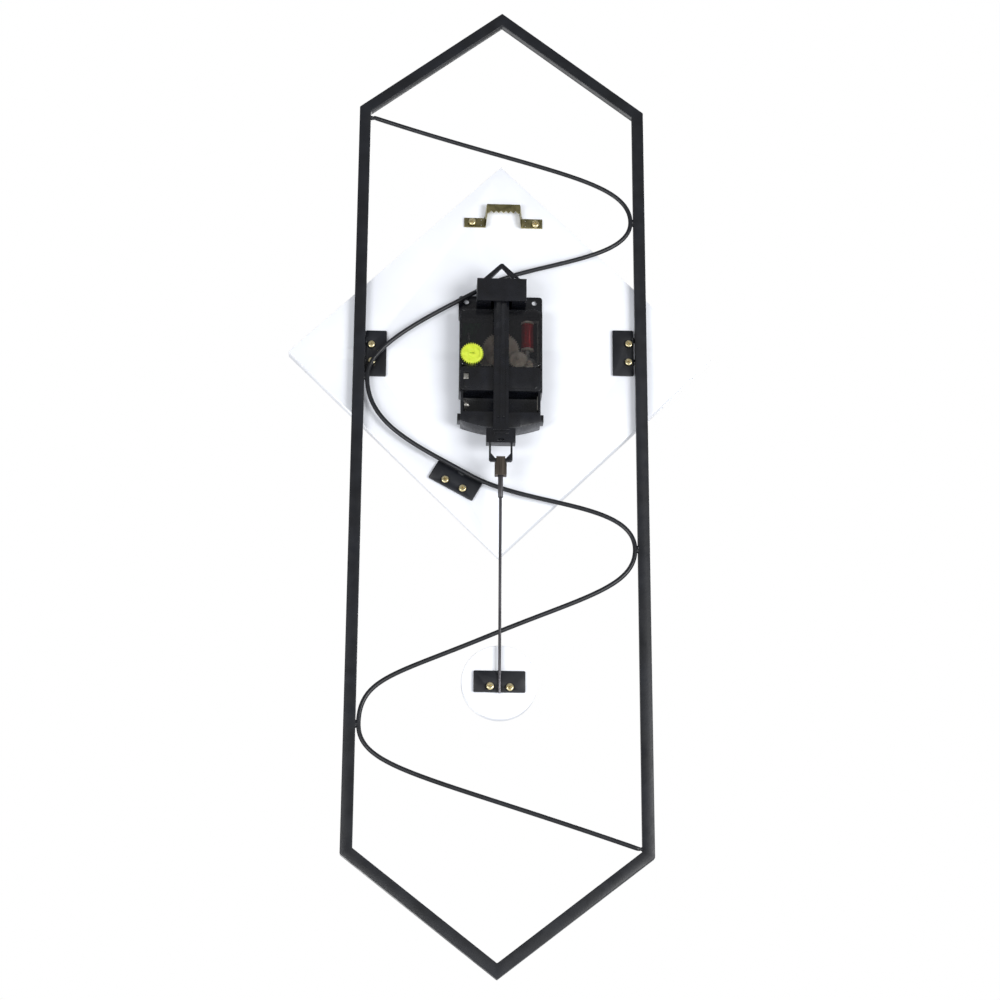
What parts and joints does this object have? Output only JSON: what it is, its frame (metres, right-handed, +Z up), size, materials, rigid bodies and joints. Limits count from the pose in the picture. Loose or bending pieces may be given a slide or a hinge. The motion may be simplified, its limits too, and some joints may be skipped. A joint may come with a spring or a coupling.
{
  "type": "pendulum wall clock",
  "caption": "Wall clock with a black hexagon wire frame, a square white dial set on its corner, a quartz pendulum movement on its back and a disc bob on a hooked rod.",
  "frame": {"origin": "the notch of the toothed hanger strip that takes the nail, on the middle of the clock, halfway through the strip", "axes": "+X to the right as seen from the front, +Y back towards the wall, +Z up"},
  "size_m": [0.2928, 0.0446, 0.6998],
  "materials": {
    "black_paint": "satin black paint",
    "brass": "bright brass plate",
    "white_lacquer": "white lacquered MDF",
    "black_plastic": "moulded black ABS",
    "smoked_cover": "clear smoked polystyrene",
    "nickel_steel": "nickel plate",
    "raw_steel": "raw drawn steel",
    "copper_wire": "red enamelled copper wire",
    "circuit_board": "green solder mask",
    "lime_plastic": "moulded lime yellow plastic",
    "hand_paint": "satin black paint on aluminium",
    "milky_plastic": "natural acetal"
  },
  "bodies": {
    "clock": {"frame_top_right_bar": "black_paint", "frame_right_rail": "black_paint", "frame_bottom_right_bar": "black_paint", "frame_bottom_left_bar": "black_paint", "frame_left_rail": "black_paint", "frame_top_left_bar": "black_paint", "scroll_rod": "black_paint", "plate_left": "black_paint", "plate_right": "black_paint", "plate_middle": "black_paint", "plate_screw_left_1": "brass", "plate_screw_left_2": "brass", "plate_screw_right_1": "brass", "plate_screw_right_2": "brass", "plate_screw_middle_1": "brass", "plate_screw_middle_2": "brass", "sawtooth_hanger": "brass", "hanger_screw_1": "brass", "hanger_screw_2": "brass", "dial_panel": "white_lacquer", "movement_case": "black_plastic", "movement_cover": "smoked_cover", "terminal_panel": "black_plastic", "hanger_bracket": "black_plastic", "pivot_pin": "nickel_steel", "coil_bobbin": "milky_plastic", "coil_winding": "copper_wire", "stator": "nickel_steel", "circuit_board": "circuit_board", "quartz_crystal": "nickel_steel", "battery_spring": "nickel_steel", "battery_plate": "nickel_steel", "pendulum_coil": "copper_wire", "threaded_bushing": "brass", "hex_nut": "brass", "shaft_washer": "brass"},
    "pendulum_arm": {"pendulum_arm": "black_plastic", "arm_magnet": "nickel_steel"},
    "bob_rod": {"rod_clip": "raw_steel", "rod_sleeve": "raw_steel", "pendulum_rod": "raw_steel", "bob_plate": "black_paint", "bob_disc": "white_lacquer", "bob_screw_1": "brass", "bob_screw_2": "brass"},
    "second_arbor": {"second_wheel": "milky_plastic", "second_hand": "hand_paint"},
    "fifth_arbor": {"fifth_wheel": "milky_plastic"},
    "rotor": {"rotor": "milky_plastic"},
    "third_arbor": {"third_wheel": "black_plastic"},
    "centre_wheel": {"centre_wheel": "milky_plastic"},
    "minute_arbor": {"cannon_pinion": "milky_plastic", "minute_hand": "hand_paint"},
    "hour_arbor": {"hour_wheel": "milky_plastic", "hour_hand": "hand_paint"},
    "minute_wheel": {"minute_wheel": "milky_plastic"},
    "setting_wheel": {"setting_wheel": "lime_plastic"}
  },
  "joints": [
    {"name": "pendulum_swing", "type": "hinge", "parent": "clock", "child": "pendulum_arm", "pos_m": [0, 0.0153, -0.0691], "axis": [0, 1, 0], "range_deg": [-5, 5]},
    {"name": "rod_tilt", "type": "hinge", "parent": "pendulum_arm", "child": "bob_rod", "pos_m": [0, 0.0153, -0.19475], "axis": [1, 0, 0], "range_deg": [-1, 15]},
    {"name": "minute_hand_spin", "type": "hinge", "parent": "clock", "child": "minute_arbor", "pos_m": [0, -0.0047, -0.1096], "axis": [0, 1, 0], "continuous": true},
    {"name": "hour_hand_spin", "type": "hinge", "parent": "clock", "child": "hour_arbor", "pos_m": [0, -0.0047, -0.1096], "axis": [0, 1, 0], "continuous": true},
    {"name": "minute_wheel_spin", "type": "hinge", "parent": "clock", "child": "minute_wheel", "pos_m": [0.00913, 0.0003, -0.11257], "axis": [0, 1, 0], "continuous": true},
    {"name": "setting_wheel_spin", "type": "hinge", "parent": "clock", "child": "setting_wheel", "pos_m": [0.01997, 0.0003, -0.11609], "axis": [0, 1, 0], "continuous": true},
    {"name": "second_hand_spin", "type": "hinge", "parent": "clock", "child": "second_arbor", "pos_m": [0, -0.0047, -0.1096], "axis": [0, 1, 0], "continuous": true},
    {"name": "third_wheel_spin", "type": "hinge", "parent": "clock", "child": "third_arbor", "pos_m": [0.00612, 0.0003, -0.099], "axis": [0, 1, 0], "continuous": true},
    {"name": "centre_wheel_spin", "type": "hinge", "parent": "clock", "child": "centre_wheel", "pos_m": [0, 0.0003, -0.1096], "axis": [0, 1, 0], "continuous": true},
    {"name": "fifth_wheel_spin", "type": "hinge", "parent": "clock", "child": "fifth_arbor", "pos_m": [-0.01198, 0.0053, -0.11738], "axis": [0, 1, 0], "continuous": true},
    {"name": "rotor_spin", "type": "hinge", "parent": "clock", "child": "rotor", "pos_m": [-0.01954, 0.0053, -0.11983], "axis": [0, 1, 0], "continuous": true}
  ],
  "couplings": [
    {"joint": "hour_hand_spin", "follows": "minute_hand_spin", "ratio": 0.083333},
    {"joint": "minute_wheel_spin", "follows": "minute_hand_spin", "ratio": -0.33333},
    {"joint": "setting_wheel_spin", "follows": "minute_hand_spin", "ratio": 0.57143},
    {"joint": "third_wheel_spin", "follows": "second_hand_spin", "ratio": -0.13333},
    {"joint": "centre_wheel_spin", "follows": "second_hand_spin", "ratio": 0.016667},
    {"joint": "fifth_wheel_spin", "follows": "second_hand_spin", "ratio": -7.5},
    {"joint": "rotor_spin", "follows": "second_hand_spin", "ratio": 30}
  ]
}
